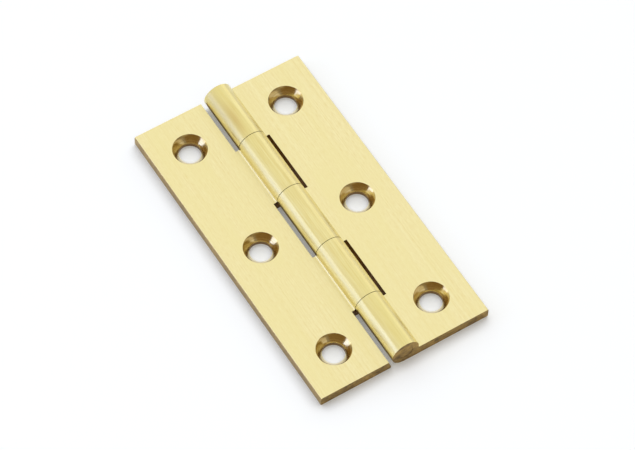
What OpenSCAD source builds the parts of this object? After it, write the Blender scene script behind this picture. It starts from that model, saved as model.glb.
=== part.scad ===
// Cabinet hinge: a small solid drawn brass butt hinge, open flat.
// X runs across the two leaves, Y along the pin, Z up from the leaf backs to the top of the barrel.
// The leaf backs lie on z = 0 and the pin axis is over x = 0.

/* [Leaves] */
// length of the hinge along the pin
length = 63.5; // [40:0.5:120]
// width over both leaves when the hinge is open flat
open_width = 35; // [27:0.5:90]
// thickness of each leaf
leaf_thickness = 2.2; // [1.6:0.05:2.5]
// small rounding along the outer long edge of each leaf
edge_round = 0.3; // [0.1:0.05:0.6]
// fillet between the top of the leaf and the barrel
root_fillet = 0.35; // [0.1:0.05:0.6]

/* [Barrel and pin] */
// outside diameter of the knuckles
barrel_diameter = 5.5; // [5.1:0.1:7]
// diameter of the hinge pin
pin_diameter = 3; // [2:0.1:3.6]
// running clearance around the pin in the turning leaf, on the radius
pin_clearance = 0.04; // [0.02:0.01:0.08]
// length of each end knuckle, to the middle of its joint
end_knuckle = 12.1; // [8:0.1:16]
// side clearance between neighbouring knuckles
knuckle_gap = 0.1; // [0.05:0.01:0.3]

/* [Slots in the leaf edge] */
// distance from the barrel to the slot edges of the two-knuckle leaf, measured at the top face
slot_clearance = 0.7; // [0.6:0.05:1.5]
// the same distance in the slots of the three-knuckle leaf
wide_slot_clearance = 1; // [0.6:0.05:1.5]
// how far a slot edge leans out under the barrel at its foot
slot_foot = 0.55; // [0.2:0.05:0.55]
// rounding at that foot
slot_foot_round = 0.4; // [0.2:0.05:0.8]

/* [Screw holes] */
// distance from each end of the leaf to the middle of its end hole
hole_end = 7.35; // [4.5:0.05:16]
// distance from the outer edge of the leaf to the line of holes
hole_edge = 7.3; // [4.5:0.1:20]
// diameter of the screw hole at the back of the leaf
hole_diameter = 4.2; // [3:0.1:4.8]
// diameter of the countersink at the top face
countersink_diameter = 6.5; // [5.2:0.1:8]
// full angle of the countersink, in degrees
countersink_angle = 82; // [80:1:100]

/* [Hidden] */
$fn = 96;
eps = 0.5;
half_length = length / 2;
half_width = open_width / 2;
barrel_r = barrel_diameter / 2;
pin_r = pin_diameter / 2;
axis_z = barrel_r;
hole_x = half_width - hole_edge;
hole_pitch = half_length - hole_end;
mid_knuckle = (length - 2 * end_knuckle) / 3;
joint_1 = half_length - end_knuckle;
joint_2 = joint_1 - mid_knuckle;
joint_3 = joint_2 - mid_knuckle;
joint_4 = joint_3 - mid_knuckle;
// centre of the root fillet, touching the leaf top and the barrel
fillet_drop = axis_z - leaf_thickness - root_fillet;
fillet_x = sqrt(pow(barrel_r + root_fillet, 2) - pow(fillet_drop, 2));
fillet_z = leaf_thickness + root_fillet;
touch_x = fillet_x * barrel_r / (barrel_r + root_fillet);
touch_z = axis_z - fillet_drop * barrel_r / (barrel_r + root_fillet);

brass = [0.86, 0.77, 0.5];
brass_dark = [0.72, 0.6, 0.34];

// stands a drawing made in X and Y up on edge and runs it along the pin from y0 to y1
module along_pin(y0, y1) {
  translate([0, y1, 0])
    rotate([90, 0, 0])
      linear_extrude(height = y1 - y0)
        children();
}

// the plate of a leaf, with its rounded outer edge
module plate() {
  translate([0, -half_length, 0])
    cube([half_width - edge_round, length, leaf_thickness]);
  translate([half_width - 2 * edge_round, -half_length, edge_round])
    cube([2 * edge_round, length, leaf_thickness - 2 * edge_round]);
  for (z = [edge_round, leaf_thickness - edge_round])
    translate([half_width - edge_round, half_length, z])
      rotate([90, 0, 0])
        cylinder(h = length, r = edge_round);
}

// the full length barrel the knuckles are cut from
module barrel() {
  translate([0, half_length, axis_z])
    rotate([90, 0, 0])
      cylinder(h = length, r = barrel_r);
}

// the fillet between the barrel and the top of the leaf
module fillet() {
  difference() {
    along_pin(-half_length, half_length)
      polygon([
        [0, axis_z],
        [touch_x, touch_z],
        [fillet_x, fillet_z],
        [fillet_x, leaf_thickness],
        [fillet_x, leaf_thickness - 0.5],
        [0, leaf_thickness - 0.5]
      ]);
    translate([fillet_x, half_length + eps, fillet_z])
      rotate([90, 0, 0])
        cylinder(h = length + 2 * eps, r = root_fillet);
  }
}

// one slot for the other leaf's knuckle, between the joints at y_low and y_high
// the slot edge that stays leans out in a straight line and ends in a rounded foot
module slot(y_low, y_high, clearance) {
  y0 = y_low - knuckle_gap / 2;
  y1 = y_high + knuckle_gap / 2;
  top_x = barrel_r + clearance;
  foot_x = top_x - slot_foot + slot_foot_round;
  cut_x = max(top_x, foot_x);
  // where the leaning line touches the foot
  rise = leaf_thickness - slot_foot_round;
  run = top_x - foot_x;
  touch = atan2(rise, run) + acos(slot_foot_round / sqrt(rise * rise + run * run));
  difference() {
    translate([-barrel_r - eps, y0, -eps])
      cube([cut_x + barrel_r + eps, y1 - y0, barrel_diameter + 2 * eps]);
    translate([foot_x, y1 + eps, slot_foot_round])
      rotate([90, 0, 0])
        cylinder(h = y1 - y0 + 2 * eps, r = slot_foot_round);
    along_pin(y0 - eps, y1 + eps)
      polygon([
        [foot_x, 0],
        [foot_x, slot_foot_round],
        [foot_x + slot_foot_round * cos(touch), slot_foot_round * (1 + sin(touch))],
        [top_x, leaf_thickness],
        [cut_x + eps, leaf_thickness],
        [cut_x + eps, 0]
      ]);
  }
}

// one countersunk screw hole, its cone carried on past the top face
module screw_hole(y) {
  above_r = countersink_diameter / 2 + eps * tan(countersink_angle / 2);
  translate([hole_x, y, -eps])
    cylinder(h = leaf_thickness + 2 * eps, r = hole_diameter / 2);
  translate([hole_x, y, leaf_thickness - countersink_depth()])
    cylinder(h = countersink_depth() + eps, r1 = hole_diameter / 2, r2 = above_r);
}

// how deep the cone goes before it has narrowed to the hole
function countersink_depth() =
  (countersink_diameter - hole_diameter) / 2 / tan(countersink_angle / 2);

// a leaf on the +X side before its slots are cut, bored for the pin
module leaf_blank(bore_r) {
  difference() {
    union() {
      plate();
      barrel();
      fillet();
    }
    translate([0, half_length + eps, axis_z])
      rotate([90, 0, 0])
        cylinder(h = length + 2 * eps, r = bore_r);
    screw_hole(-hole_pitch);
    screw_hole(0);
    screw_hole(hole_pitch);
  }
}

module three_knuckle_leaf() {
  color(brass)
    difference() {
      leaf_blank(pin_r);
      slot(joint_2, joint_1, wide_slot_clearance);
      slot(joint_4, joint_3, wide_slot_clearance);
    }
}

module two_knuckle_leaf() {
  color(brass)
    mirror([1, 0, 0])
      difference() {
        leaf_blank(pin_r + pin_clearance);
        slot(joint_1, half_length + eps, slot_clearance);
        slot(joint_3, joint_2, slot_clearance);
        slot(-half_length - eps, joint_4, slot_clearance);
      }
}

module hinge_pin() {
  color(brass_dark)
    translate([0, half_length, axis_z])
      rotate([90, 0, 0])
        cylinder(h = length, r = pin_r);
}

three_knuckle_leaf();
two_knuckle_leaf();
hinge_pin();
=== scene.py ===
# %% [markdown]
# A small butt hinge in solid drawn brass, lying open on a white table.
# The construction model gives three solids: a leaf with three knuckles, a leaf with two, and the pin.
# This file dresses those solids: it softens their edges, gives every surface the finish that its tool left,
# and lights them.
# The colour of the ends, the slots and the holes also carries painted shade. It never changes a size.

# %% Load the frame
import math

import bmesh
import bpy
from mathutils import Matrix, Vector


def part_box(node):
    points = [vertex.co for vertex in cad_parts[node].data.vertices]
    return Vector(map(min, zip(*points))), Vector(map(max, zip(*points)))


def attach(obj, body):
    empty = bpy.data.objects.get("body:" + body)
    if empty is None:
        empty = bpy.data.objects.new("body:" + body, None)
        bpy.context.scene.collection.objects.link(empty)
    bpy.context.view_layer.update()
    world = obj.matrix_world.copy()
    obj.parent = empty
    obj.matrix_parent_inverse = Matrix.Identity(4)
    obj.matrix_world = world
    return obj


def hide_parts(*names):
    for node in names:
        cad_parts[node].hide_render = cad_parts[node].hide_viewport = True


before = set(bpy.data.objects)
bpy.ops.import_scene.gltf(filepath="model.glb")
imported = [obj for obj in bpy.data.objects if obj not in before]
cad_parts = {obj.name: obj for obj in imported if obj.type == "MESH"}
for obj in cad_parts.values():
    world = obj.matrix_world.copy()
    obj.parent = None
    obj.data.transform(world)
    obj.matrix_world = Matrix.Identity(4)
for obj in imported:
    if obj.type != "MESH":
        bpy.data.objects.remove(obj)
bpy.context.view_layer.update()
MM = 0.001

# %% [markdown]
# Every place that follows is worked out from the solids, so first the sizes that the finishes need are read
# or named: where the leaves end, how high their top faces are, and where the screw holes and the pin lie.

# %% Sizes used by the finishes
leaf_low, leaf_high = (Vector(c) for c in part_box("three_knuckle_leaf"))
half_length = leaf_high.y
half_width = leaf_high.x
barrel_radius = (leaf_high.z - leaf_low.z) / 2
axis_height = leaf_low.z + barrel_radius
leaf_thickness = 2.2 * MM
hole_x = 10.2 * MM
hole_pitch = 24.4 * MM
hole_radius = 2.1 * MM
countersink_radius = 3.25 * MM
print("half length %.2f mm, half width %.2f mm, barrel radius %.2f mm" % (
    half_length / MM, half_width / MM, barrel_radius / MM))

# %% [markdown]
# ## The camera
# The hinge was photographed from above, over its left leaf, with a long lens. The lens and the place of the
# camera were solved from the edges of the leaves and the rims of the countersinks, so they are plain numbers.

# %% Camera
def make_camera():
    forward = Vector((0.2997, 0.4351, -0.8490)).normalized()
    up = Vector((0.4396, 0.7268, 0.5277))
    right = forward.cross(up).normalized()
    up = right.cross(forward).normalized()
    data = bpy.data.cameras.new("camera")
    data.sensor_width = 36.0
    data.lens = 3783.45 * 36.0 / 635.0
    data.clip_start = 0.01
    data.clip_end = 20.0
    camera = bpy.data.objects.new("camera", data)
    turn = Matrix((right, up, -forward)).transposed()
    camera.matrix_world = Matrix.Translation(Vector((-0.20177, -0.29553, 0.57645))) @ turn.to_4x4()
    bpy.context.scene.collection.objects.link(camera)
    bpy.context.scene.camera = camera
    return camera


camera = make_camera()
print("camera %.0f mm away, lens %.0f mm" % (camera.location.length / MM, camera.data.lens))

# %% [markdown]
# ## Helpers for materials
# A colour is written as the sRGB hex value that a paint program shows, and one function turns it to the
# linear numbers that the renderer works with. A second small function adds a node, sets it and links it.

# %% Colour and node helpers
def linear(hex_colour):
    values = [int(hex_colour[i:i + 2], 16) / 255 for i in (1, 3, 5)]
    return [v / 12.92 if v <= 0.04045 else ((v + 0.055) / 1.055) ** 2.4 for v in values] + [1.0]


def add_node(tree, kind, inputs=None, **settings):
    """Adds a node. inputs maps an input's name or number to a value, or to another node's output."""
    node = tree.nodes.new(kind)
    for name, value in settings.items():
        setattr(node, name, value)
    for key, value in (inputs or {}).items():
        if isinstance(value, bpy.types.NodeSocket):
            tree.links.new(value, node.inputs[key])
        else:
            node.inputs[key].default_value = value
    return node


def new_material(name):
    material = bpy.data.materials.new(name)
    material.use_nodes = True
    tree = material.node_tree
    shader = tree.nodes["Principled BSDF"]
    return material, tree, shader


# %% [markdown]
# ## Linished brass
# The flat faces and the barrel are satin: an abrasive belt was run along the length of the hinge, and left
# fine parallel scratches. They are a few hundredths of a millimetre apart, too fine for a picture this size,
# so they are drawn 0.2 to 0.3 mm apart. Some are a few millimetres long and some run most of the length. Noise
# that is squeezed across the hinge and stretched along it gives both. The scratches move the colour, the
# roughness and the bump a little, and a broad noise gives the faint clouds that handling leaves. A thin clear
# lacquer over it all gives the pale sheen. A patch is a place where the brass is a little darker.

# %% Linished brass material
def linished_brass(name, light, deep, cloud, roughness, grain_mm, lengths_mm, patches=()):
    material, tree, shader = new_material(name)
    place = add_node(tree, "ShaderNodeTexCoord").outputs["Object"]
    scratches = []
    for length_mm in lengths_mm:
        across, along = 1 / (grain_mm * MM), 1 / (length_mm * MM)
        squeezed = add_node(tree, "ShaderNodeMapping", {"Vector": place, "Scale": (across, along, across)})
        scratches.append(add_node(tree, "ShaderNodeTexNoise", {
            "Vector": squeezed.outputs[0], "Scale": 1.0, "Detail": 3.0, "Roughness": 0.65}).outputs[0])
    grain = add_node(tree, "ShaderNodeMix", {0: 0.5, 2: scratches[0], 3: scratches[1]}).outputs[0]
    cloud_place = add_node(tree, "ShaderNodeMapping", {
        "Vector": place, "Scale": (1 / (3.5 * MM), 1 / (14 * MM), 1 / (3.5 * MM))})
    clouds = add_node(tree, "ShaderNodeTexNoise", {
        "Vector": cloud_place.outputs[0], "Scale": 1.0, "Detail": 2.0}).outputs[0]
    grain_mix = add_node(tree, "ShaderNodeMapRange", {
        "Value": grain, "From Min": 0.3, "From Max": 0.7})
    cloud_mix = add_node(tree, "ShaderNodeMapRange", {
        "Value": clouds, "From Min": 0.35, "From Max": 0.7, "To Max": 0.6})
    colour = add_node(tree, "ShaderNodeMix", {
        0: grain_mix.outputs[0], 6: linear(deep), 7: linear(light)}, data_type="RGBA").outputs[2]
    colour = add_node(tree, "ShaderNodeMix", {
        0: cloud_mix.outputs[0], 6: colour, 7: linear(cloud)}, data_type="RGBA").outputs[2]
    for centre, reach, tint, strength in patches:
        offset = add_node(tree, "ShaderNodeVectorMath", {0: place, 1: centre}, operation="SUBTRACT").outputs[0]
        scaled = add_node(tree, "ShaderNodeVectorMath", {
            0: offset, 1: tuple(1 / r for r in reach)}, operation="MULTIPLY").outputs[0]
        far = add_node(tree, "ShaderNodeVectorMath", {0: scaled}, operation="LENGTH").outputs["Value"]
        amount = add_node(tree, "ShaderNodeMapRange", {
            "Value": far, "From Min": 1.0, "From Max": 0.0, "To Max": strength},
            interpolation_type="SMOOTHSTEP").outputs[0]
        colour = add_node(tree, "ShaderNodeMix", {
            0: amount, 6: colour, 7: linear(tint)}, data_type="RGBA").outputs[2]
    rough = add_node(tree, "ShaderNodeMapRange", {
        "Value": grain, "From Min": 0.3, "From Max": 0.7,
        "To Min": roughness - 0.05, "To Max": roughness + 0.05}).outputs[0]
    bump = add_node(tree, "ShaderNodeBump", {
        "Height": grain, "Strength": 0.5, "Distance": 0.006 * MM}).outputs[0]
    shader.inputs["Metallic"].default_value = 1.0
    shader.inputs["Coat Weight"].default_value = 0.8
    shader.inputs["Coat Roughness"].default_value = 0.3
    tree.links.new(colour, shader.inputs["Base Color"])
    tree.links.new(rough, shader.inputs["Roughness"])
    tree.links.new(bump, shader.inputs["Normal"])
    return material


leaf_finish = linished_brass("brass_linished_flat", "#F9F0BD", "#E6D48C", "#EFE3A1", 0.36,
                             grain_mm=0.2, lengths_mm=(1.2, 60.0))
barrel_finish = linished_brass("brass_linished_barrel", "#F4EAAA", "#D5C06E", "#E4D686", 0.36,
                               grain_mm=0.3, lengths_mm=(6.0, 40.0),
                               patches=[((-0.95 * MM, 24.0 * MM, 5.33 * MM), (1.2 * MM, 6.0 * MM, 1.5 * MM),
                                         "#C9A85C", 0.5),
                                        ((-2.05 * MM, 27.0 * MM, 4.6 * MM), (2.2 * MM, 12.0 * MM, 2.2 * MM),
                                         "#CDBB78", 0.6)])
print("made", leaf_finish.name, "and", barrel_finish.name)

# %% [markdown]
# ## Sawn ends
# The section comes as a long bar that is sawn to length, and the knuckles are cut out with a side cutter.
# Those faces are never polished. They stay rough and have gone olive brown, with uneven darker blotches. The
# colour of the ends and the slots is made darker still, as painted shade: the ends turn away from the light,
# and the slots are narrow recesses beside the knuckles.

# %% Sawn brass material
def sawn_brass(name, light, deep, roughness):
    material, tree, shader = new_material(name)
    place = add_node(tree, "ShaderNodeTexCoord").outputs["Object"]
    teeth_place = add_node(tree, "ShaderNodeMapping", {
        "Vector": place, "Scale": (1 / (0.5 * MM), 1 / (0.5 * MM), 1 / (0.18 * MM))})
    teeth = add_node(tree, "ShaderNodeTexNoise", {
        "Vector": teeth_place.outputs[0], "Scale": 1.0, "Detail": 3.0, "Roughness": 0.6}).outputs[0]
    blotches = add_node(tree, "ShaderNodeTexNoise", {
        "Vector": place, "Scale": 1 / (1.4 * MM), "Detail": 3.0, "Roughness": 0.6}).outputs[0]
    both = add_node(tree, "ShaderNodeMath", {0: teeth, 1: blotches}, operation="ADD").outputs[0]
    mix = add_node(tree, "ShaderNodeMapRange", {"Value": both, "From Min": 0.75, "From Max": 1.25}).outputs[0]
    colour = add_node(tree, "ShaderNodeMix", {
        0: mix, 6: linear(deep), 7: linear(light)}, data_type="RGBA").outputs[2]
    rough = add_node(tree, "ShaderNodeMapRange", {
        "Value": blotches, "From Min": 0.3, "From Max": 0.7,
        "To Min": roughness - 0.08, "To Max": roughness + 0.08}).outputs[0]
    bump = add_node(tree, "ShaderNodeBump", {
        "Height": teeth, "Strength": 0.6, "Distance": 0.02 * MM}).outputs[0]
    shader.inputs["Metallic"].default_value = 1.0
    tree.links.new(colour, shader.inputs["Base Color"])
    tree.links.new(rough, shader.inputs["Roughness"])
    tree.links.new(bump, shader.inputs["Normal"])
    return material


# the ends: rough olive brown, darkened further as painted shade because they face away from the light
end_colour_and_shade = sawn_brass("brass_sawn_end_with_painted_shade", "#BC9C5C", "#70582B", 0.5)
# the slots: rough cut brass, and their darker brown is partly painted shade of the narrow recess between
# knuckle and leaf
slot_colour_and_shade = sawn_brass("brass_cut_slot_with_painted_shade", "#9A6D30", "#5E3E1A", 0.5)
outer_edge_finish = sawn_brass("brass_drawn_edge", "#C0A670", "#987F50", 0.42)
print("made", end_colour_and_shade.name, slot_colour_and_shade.name, outer_edge_finish.name)

# %% [markdown]
# ## Turned countersinks
# A countersink bit leaves a bright cone with rings around the hole. The rings are made from the distance to
# the nearest hole: the holes stand in two lines, and repeat at an even pitch, so folding the X axis over and
# taking off the nearest multiple of the pitch brings every hole onto one centre.

# %% Turned brass material
def turned_brass(name, light, deep, roughness, ring_mm):
    material, tree, shader = new_material(name)
    place = add_node(tree, "ShaderNodeTexCoord").outputs["Object"]
    parts = add_node(tree, "ShaderNodeSeparateXYZ", {0: place}).outputs
    side = add_node(tree, "ShaderNodeMath", {0: parts["X"]}, operation="ABSOLUTE").outputs[0]
    x = add_node(tree, "ShaderNodeMath", {0: side, 1: hole_x}, operation="SUBTRACT").outputs[0]
    steps = add_node(tree, "ShaderNodeMath", {0: parts["Y"], 1: hole_pitch}, operation="DIVIDE").outputs[0]
    nearest = add_node(tree, "ShaderNodeMath", {0: steps}, operation="ROUND").outputs[0]
    rest = add_node(tree, "ShaderNodeMath", {0: steps, 1: nearest}, operation="SUBTRACT").outputs[0]
    y = add_node(tree, "ShaderNodeMath", {0: rest, 1: hole_pitch}, operation="MULTIPLY").outputs[0]
    flat = add_node(tree, "ShaderNodeCombineXYZ", {0: x, 1: y}).outputs[0]
    radius = add_node(tree, "ShaderNodeVectorMath", {0: flat}, operation="LENGTH").outputs["Value"]
    ring_number = add_node(tree, "ShaderNodeMath", {
        0: radius, 1: 1 / (ring_mm * MM)}, operation="MULTIPLY").outputs[0]
    rings = add_node(tree, "ShaderNodeTexNoise", {
        "W": ring_number, "Scale": 1.0, "Detail": 2.0}, noise_dimensions="1D").outputs[0]
    clouds = add_node(tree, "ShaderNodeTexNoise", {
        "Vector": place, "Scale": 1 / (1.2 * MM), "Detail": 2.0}).outputs[0]
    both = add_node(tree, "ShaderNodeMath", {0: rings, 1: clouds}, operation="ADD").outputs[0]
    # the cone is cleaner and paler towards the hole, where the bit cut last
    inward = add_node(tree, "ShaderNodeMapRange", {
        "Value": radius, "From Min": hole_radius, "From Max": countersink_radius,
        "To Min": 0.45, "To Max": -0.45}).outputs[0]
    both = add_node(tree, "ShaderNodeMath", {0: both, 1: inward}, operation="ADD").outputs[0]
    mix = add_node(tree, "ShaderNodeMapRange", {"Value": both, "From Min": 0.5, "From Max": 1.5}).outputs[0]
    colour = add_node(tree, "ShaderNodeMix", {
        0: mix, 6: linear(deep), 7: linear(light)}, data_type="RGBA").outputs[2]
    bump = add_node(tree, "ShaderNodeBump", {
        "Height": rings, "Strength": 0.25, "Distance": 0.006 * MM}).outputs[0]
    shader.inputs["Metallic"].default_value = 1.0
    shader.inputs["Roughness"].default_value = roughness
    shader.inputs["Coat Weight"].default_value = 0.4
    shader.inputs["Coat Roughness"].default_value = 0.12
    tree.links.new(colour, shader.inputs["Base Color"])
    tree.links.new(bump, shader.inputs["Normal"])
    return material


countersink_finish = turned_brass("brass_turned_countersink", "#F8EAB4", "#D6BC74", 0.16, 0.16)
# the wall of a hole is dark brown: partly a rough drilled finish, partly painted shade of the deep narrow hole
drilled_colour_and_shade = turned_brass("brass_drilled_hole_with_painted_shade", "#906E36", "#6E5122", 0.55, 0.3)
print("made", countersink_finish.name, drilled_colour_and_shade.name)

# %% [markdown]
# ## Leaves with softened edges
# The solids have knife edges, and a real hinge has none: every edge has lost a tenth of a millimetre or less
# to the belt or the file, and that sliver is what catches the light. The solid's own mesh is left alone. A
# copy has its loose triangles merged and its flat faces joined, then each sharp edge is bevelled, and the
# copy stands in for the solid. Which tool made a face is read from where the face lies and how it is turned.

# %% Helpers for dressing a solid
def merged_copy(node_name):
    """A bmesh of a CAD node with its doubles merged and its flat faces joined."""
    work = bmesh.new()
    work.from_mesh(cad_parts[node_name].data)
    bmesh.ops.remove_doubles(work, verts=work.verts, dist=0.5e-6)
    bmesh.ops.dissolve_limit(work, angle_limit=math.radians(0.05), verts=work.verts, edges=work.edges)
    return work


def sharp_edges(work, degrees):
    return [e for e in work.edges if e.is_manifold and e.is_convex
            and e.calc_face_angle(0.0) > math.radians(degrees)]


def soften(work, edges, width, segments):
    bmesh.ops.bevel(work, geom=edges, offset=width, offset_type="OFFSET", affect="EDGES", segments=segments,
                    profile=0.5, clamp_overlap=True, material=-1)


def as_piece(work, name, finishes, body, node_name):
    """Turns a finished bmesh into a piece that rides on a body and stands in for a CAD node."""
    mesh = bpy.data.meshes.new(name)
    work.to_mesh(mesh)
    work.free()
    for finish in finishes:
        mesh.materials.append(finish)
    for polygon in mesh.polygons:
        polygon.use_smooth = True
    piece = bpy.data.objects.new(name, mesh)
    bpy.context.scene.collection.objects.link(piece)
    even = piece.modifiers.new("even_shading", "WEIGHTED_NORMAL")
    even.weight = 60
    even.keep_sharp = True
    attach(piece, body)
    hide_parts(node_name)
    return piece


# %% Tell the faces of a leaf apart
FLAT, BARREL, END, SLOT, EDGE, CONE, DRILLED = range(7)
LEAF_FINISHES = [leaf_finish, barrel_finish, end_colour_and_shade, slot_colour_and_shade, outer_edge_finish,
                 countersink_finish, drilled_colour_and_shade]
EDGE_SOFTENING = 0.035 * MM
SLACK = 0.02 * MM
END_BAND = 0.1 * MM
OUTER_EDGE_BAND = 0.35 * MM


def leaf_surface(centre, normal):
    """Which tool made the face of a leaf that has this centre and normal."""
    from_axis = math.hypot(centre.x, centre.z - axis_height)
    nearest_hole = min(
        math.hypot(abs(centre.x) - hole_x, centre.y - k * hole_pitch) for k in (-1, 0, 1))
    if nearest_hole < countersink_radius + SLACK and abs(normal.z) < 0.95:
        return CONE if normal.z > 0.3 else DRILLED
    if abs(normal.y) > 0.9:
        return END if abs(centre.y) > half_length - END_BAND else SLOT
    if from_axis < barrel_radius * 0.7:
        # the bore for the pin
        return DRILLED
    if from_axis < barrel_radius + SLACK:
        return BARREL
    if abs(centre.x) > half_width - OUTER_EDGE_BAND and abs(normal.z) < 0.75:
        return EDGE
    between_faces = SLACK < centre.z < leaf_thickness - END_BAND
    if abs(centre.x) < half_width / 2 and between_faces:
        return SLOT
    return FLAT


def dress_leaf(node_name, piece_name, body):
    work = merged_copy(node_name)
    for face in work.faces:
        face.material_index = leaf_surface(face.calc_center_median(), face.normal)
    edges = sharp_edges(work, 28)
    soften(work, edges, EDGE_SOFTENING, 2)
    piece = as_piece(work, piece_name, LEAF_FINISHES, body, node_name)
    print(piece_name, "edges softened:", len(edges), "faces:", len(piece.data.polygons))


dress_leaf("three_knuckle_leaf", "leaf_with_three_knuckles", "fixed_leaf")
dress_leaf("two_knuckle_leaf", "leaf_with_two_knuckles", "turning_leaf")

# %% [markdown]
# ## The pin
# Only the two ends of the pin can be seen. They were cut off and filed flush, and a narrow groove around
# each end shows where the pin stops and the knuckle begins.

# %% Pin
PIN_GROOVE = 0.12 * MM


def dress_pin():
    work = merged_copy("hinge_pin")
    edges = sharp_edges(work, 40)
    soften(work, edges, PIN_GROOVE, 2)
    piece = as_piece(work, "pin_with_filed_ends", [end_colour_and_shade], "fixed_leaf", "hinge_pin")
    print("pin faces:", len(piece.data.polygons))


dress_pin()

# %% [markdown]
# ## The table and the light
# The photo was taken on white, in a light tent: a bright wall behind and above, a small bright panel at the
# left, two weaker ones at the right and the right front, a dim light high behind the camera, and darkness
# around the camera itself. Polished metal shows all of that, so each light stands where the countersinks and
# the barrel show it.

# %% Floor
FLOOR_LIFT = 0.46
CORNER_DEPTH = 3.0 * MM


def make_floor():
    work = bmesh.new()
    bmesh.ops.create_grid(work, x_segments=1, y_segments=1, size=3.0)
    bmesh.ops.translate(work, verts=work.verts, vec=(0, 0, -0.03 * MM))
    mesh = bpy.data.meshes.new("white_table")
    work.to_mesh(mesh)
    work.free()
    floor = bpy.data.objects.new("white_table", mesh)
    bpy.context.scene.collection.objects.link(floor)
    material = bpy.data.materials.new("white_card")
    material.use_nodes = True
    tree = material.node_tree
    tree.nodes.clear()
    rays = add_node(tree, "ShaderNodeLightPath").outputs
    seen = add_node(tree, "ShaderNodeMath", {
        0: rays["Is Camera Ray"], 1: rays["Is Glossy Ray"]}, operation="MAXIMUM").outputs[0]
    seen = add_node(tree, "ShaderNodeMath", {
        0: seen, 1: rays["Is Transmission Ray"]}, operation="MAXIMUM").outputs[0]
    # the lift fades where the hinge hides the bright wall behind it, so that the contact shadow stays as deep
    # as a real one
    to_wall = add_node(tree, "ShaderNodeCombineXYZ", {0: 0.4, 1: 0.45, 2: 0.798}).outputs[0]
    open_sky = add_node(tree, "ShaderNodeAmbientOcclusion", {
        "Distance": CORNER_DEPTH, "Normal": to_wall}).outputs["AO"]
    faded = add_node(tree, "ShaderNodeMapRange", {
        "Value": open_sky, "From Min": 0.42, "From Max": 0.84,
        "To Min": FLOOR_LIFT * 0.44, "To Max": FLOOR_LIFT}).outputs[0]
    lift = add_node(tree, "ShaderNodeMath", {0: seen, 1: faded}, operation="MULTIPLY").outputs[0]
    card = add_node(tree, "ShaderNodeBsdfDiffuse", {"Color": linear("#E1E8ED")})
    glow = add_node(tree, "ShaderNodeEmission", {"Color": (1, 1, 1, 1), "Strength": lift})
    both = add_node(tree, "ShaderNodeAddShader", {0: card.outputs[0], 1: glow.outputs[0]})
    add_node(tree, "ShaderNodeOutputMaterial", {"Surface": both.outputs[0]})
    mesh.materials.append(material)


make_floor()

# %% Softboxes
def towards(around, height):
    """A direction. around is counted from +Y towards +X, height from the table, both in degrees."""
    a, e = math.radians(around), math.radians(height)
    return Vector((math.sin(a) * math.cos(e), math.cos(a) * math.cos(e), math.sin(e)))


def softbox(name, around, height, distance, width, tall, level, colour):
    """A soft panel aimed at the hinge. Its level is the brightness that a mirror would show."""
    direction = towards(around, height)
    data = bpy.data.lights.new(name, "AREA")
    data.shape = "RECTANGLE"
    data.size = width
    data.size_y = tall
    data.color = colour
    data.energy = level * math.pi * width * tall
    lamp = bpy.data.objects.new(name, data)
    turn = direction.to_track_quat("Z", "Y").to_matrix().to_4x4()
    lamp.matrix_world = Matrix.Translation(direction * distance) @ turn
    lamp.visible_camera = False
    bpy.context.scene.collection.objects.link(lamp)


softbox("left_panel", -70, 15.5, 0.5, 0.25, 0.3, 1.35, (0.82, 0.97, 1.75))
softbox("right_panel", 66, 15, 1.0, 0.8, 0.5, 0.5, (0.95, 1.0, 1.2))
softbox("right_front_panel", 134, 9, 1.0, 1.3, 0.5, 0.37, (1.0, 0.94, 0.86))

# %% Tent
def make_tent():
    """The world: a bright wall behind and above, a dark camera side with a dim light above it, and grey."""
    world = bpy.data.worlds.new("light_tent")
    world.use_nodes = True
    bpy.context.scene.world = world
    tree = world.node_tree
    tree.nodes.clear()
    direction = add_node(tree, "ShaderNodeTexCoord").outputs["Generated"]
    # each is a direction, and the angles away from it at which its fading starts and ends
    bright_wall = (8, 36, 55, 67)
    camera_side = (-130, 42, 42, 48)
    high_light = (176, 56, 15, 29)
    caps = []
    for around, height, edge_in, edge_out in (bright_wall, camera_side, high_light):
        along = add_node(tree, "ShaderNodeVectorMath", {
            0: direction, 1: tuple(towards(around, height))}, operation="DOT_PRODUCT").outputs["Value"]
        caps.append(add_node(tree, "ShaderNodeMapRange", {
            "Value": along, "From Min": math.cos(math.radians(edge_out)),
            "From Max": math.cos(math.radians(edge_in))}, interpolation_type="SMOOTHSTEP").outputs[0])
    wall_cap, dark_cap, high_cap = caps
    parts = add_node(tree, "ShaderNodeSeparateXYZ", {0: direction}).outputs
    above = add_node(tree, "ShaderNodeMapRange", {
        "Value": parts["Z"], "From Min": 0.12, "From Max": 0.3},
        interpolation_type="SMOOTHSTEP").outputs[0]
    wall = add_node(tree, "ShaderNodeMath", {0: wall_cap, 1: above}, operation="MULTIPLY").outputs[0]
    colour = add_node(tree, "ShaderNodeMix", {
        0: dark_cap, 6: linear("#908475"), 7: linear("#846B46")}, data_type="RGBA").outputs[2]
    colour = add_node(tree, "ShaderNodeMix", {
        0: high_cap, 6: colour, 7: linear("#C4BEB2")}, data_type="RGBA").outputs[2]
    colour = add_node(tree, "ShaderNodeMix", {
        0: wall, 6: colour, 7: linear("#FFFFFF")}, data_type="RGBA").outputs[2]
    level = add_node(tree, "ShaderNodeMapRange", {"Value": wall, "To Min": 1.0, "To Max": 1.05}).outputs[0]
    sky = add_node(tree, "ShaderNodeBackground", {"Color": colour, "Strength": level})
    add_node(tree, "ShaderNodeOutputWorld", {"Surface": sky.outputs[0]})


make_tent()

bpy.context.scene.view_settings.view_transform = "Standard"
